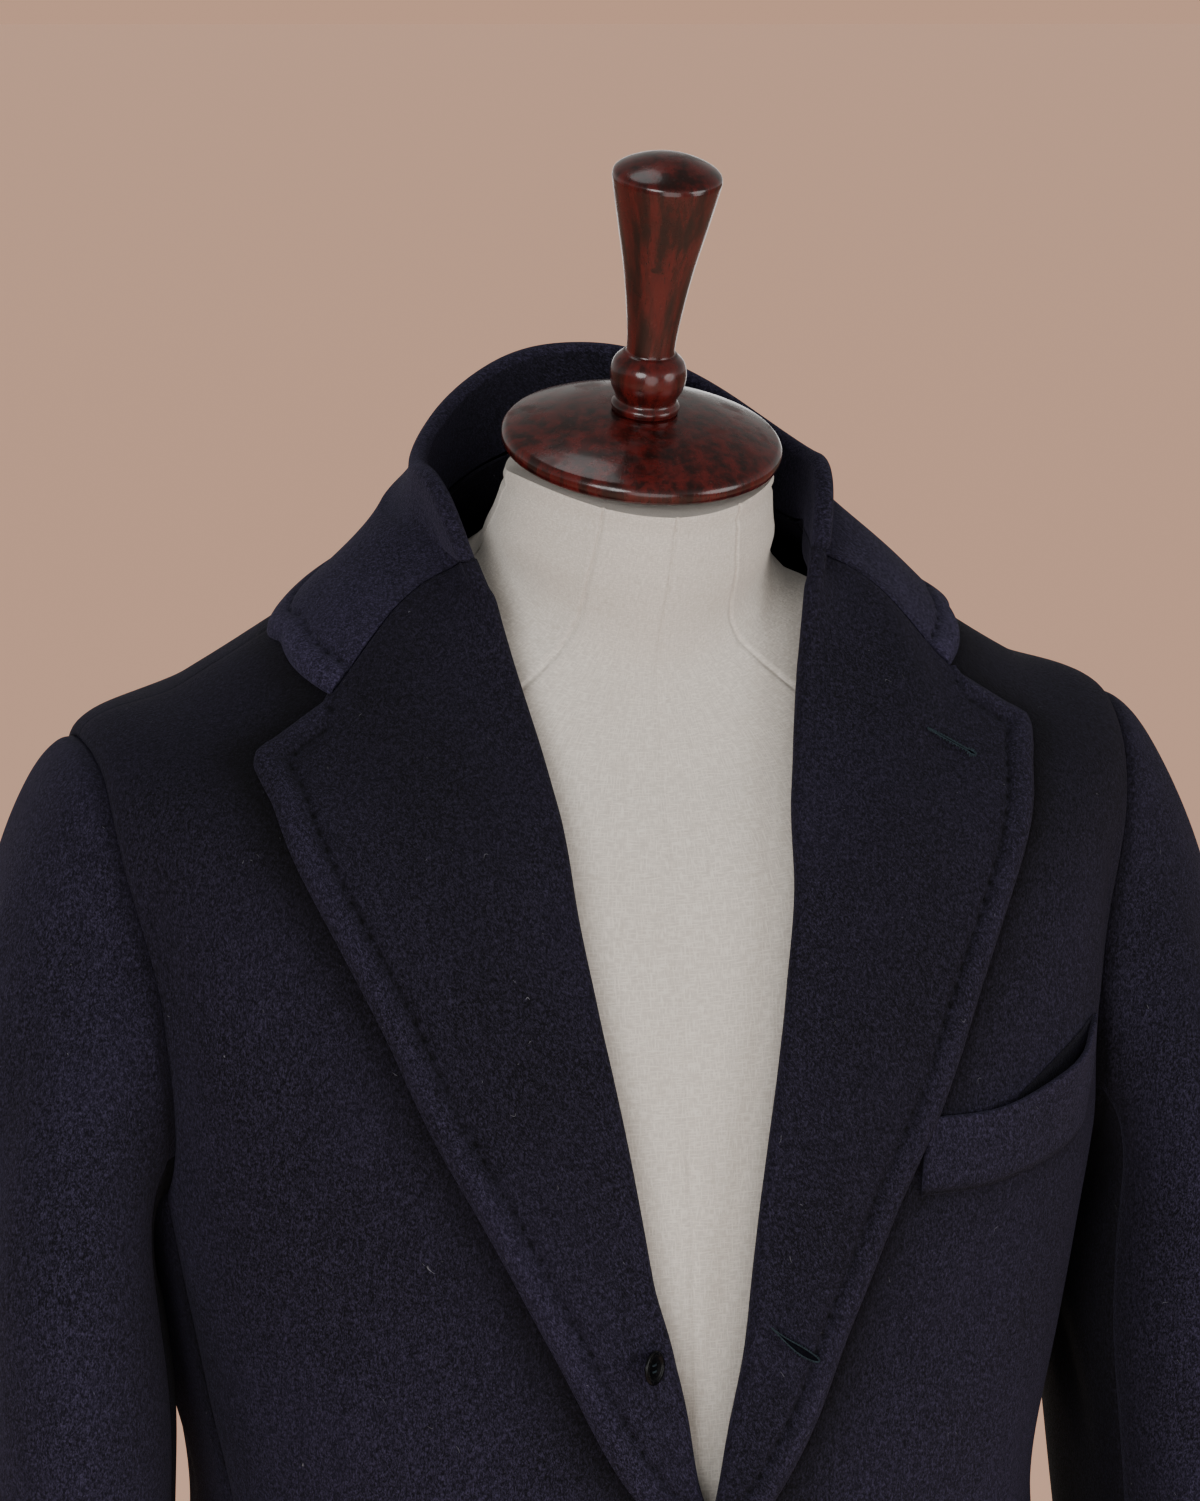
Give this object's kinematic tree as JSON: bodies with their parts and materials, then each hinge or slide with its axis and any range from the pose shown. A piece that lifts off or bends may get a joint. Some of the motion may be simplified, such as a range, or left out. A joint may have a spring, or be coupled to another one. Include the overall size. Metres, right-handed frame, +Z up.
{
  "type": "wool overcoat on a dress form",
  "caption": "Single-breasted navy wool overcoat with notch lapels and a breast welt, worn by a limbless canvas dress form on a round-based pole",
  "frame": {"origin": "on the floor, at the centre of the stand base's flat underside", "axes": "+Z up along the stand's pole, -Y out of the coat's front, +X towards the wearer's left"},
  "size_m": [0.6244, 0.38, 1.6805],
  "materials": {
    "coat_wool": "matte, brushed nap",
    "button_dark": "polished dark horn",
    "form_canvas": "matte cream canvas",
    "turned_wood": "gloss mahogany varnish",
    "stand_paint": "satin black"
  },
  "bodies": {
    "root": {"front_left": "coat_wool", "side_left": "coat_wool", "back_left": "coat_wool", "lapel_left": "coat_wool", "sleeve_top_left": "coat_wool", "sleeve_under_left": "coat_wool", "front_right": "coat_wool", "side_right": "coat_wool", "back_right": "coat_wool", "lapel_right": "coat_wool", "sleeve_top_right": "coat_wool", "sleeve_under_right": "coat_wool", "collar": "coat_wool", "chest_welt": "coat_wool", "front_button_mid": "button_dark", "front_button_low": "button_dark", "stay_button": "button_dark", "form_torso": "form_canvas", "neck_cap": "turned_wood", "finial": "turned_wood", "stand_pole": "stand_paint", "stand_base": "stand_paint"}
  },
  "joints": []
}
